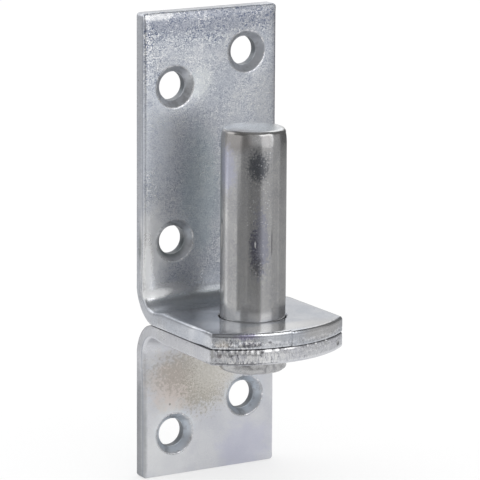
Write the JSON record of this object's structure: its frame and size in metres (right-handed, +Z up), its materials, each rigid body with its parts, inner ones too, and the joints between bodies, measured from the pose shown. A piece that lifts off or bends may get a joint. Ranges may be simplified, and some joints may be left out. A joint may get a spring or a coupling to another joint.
{
  "type": "gate hinge pin",
  "caption": "Upright gate hinge pin riveted into a shelf of two bent angle plates, with countersunk holes for screwing it to a post.",
  "frame": {"origin": "on the pin's axis, in the plane of the upper shelf's top face, where the gate's strap comes to rest", "axes": "+Z up along the pin, +Y towards the post that the leaves are screwed to, +X to the right seen from the front"},
  "size_m": [0.0376, 0.0428, 0.1165],
  "materials": {
    "upper_plate": "bright zinc plating, faintly speckled",
    "lower_plate": "bright zinc plating, lightly tarnished under the shelf",
    "hinge_pin": "bright zinc plating on a drawn round bar"
  },
  "bodies": {
    "root": {"upper_plate": "upper_plate", "lower_plate": "lower_plate", "hinge_pin": "hinge_pin"}
  },
  "joints": []
}
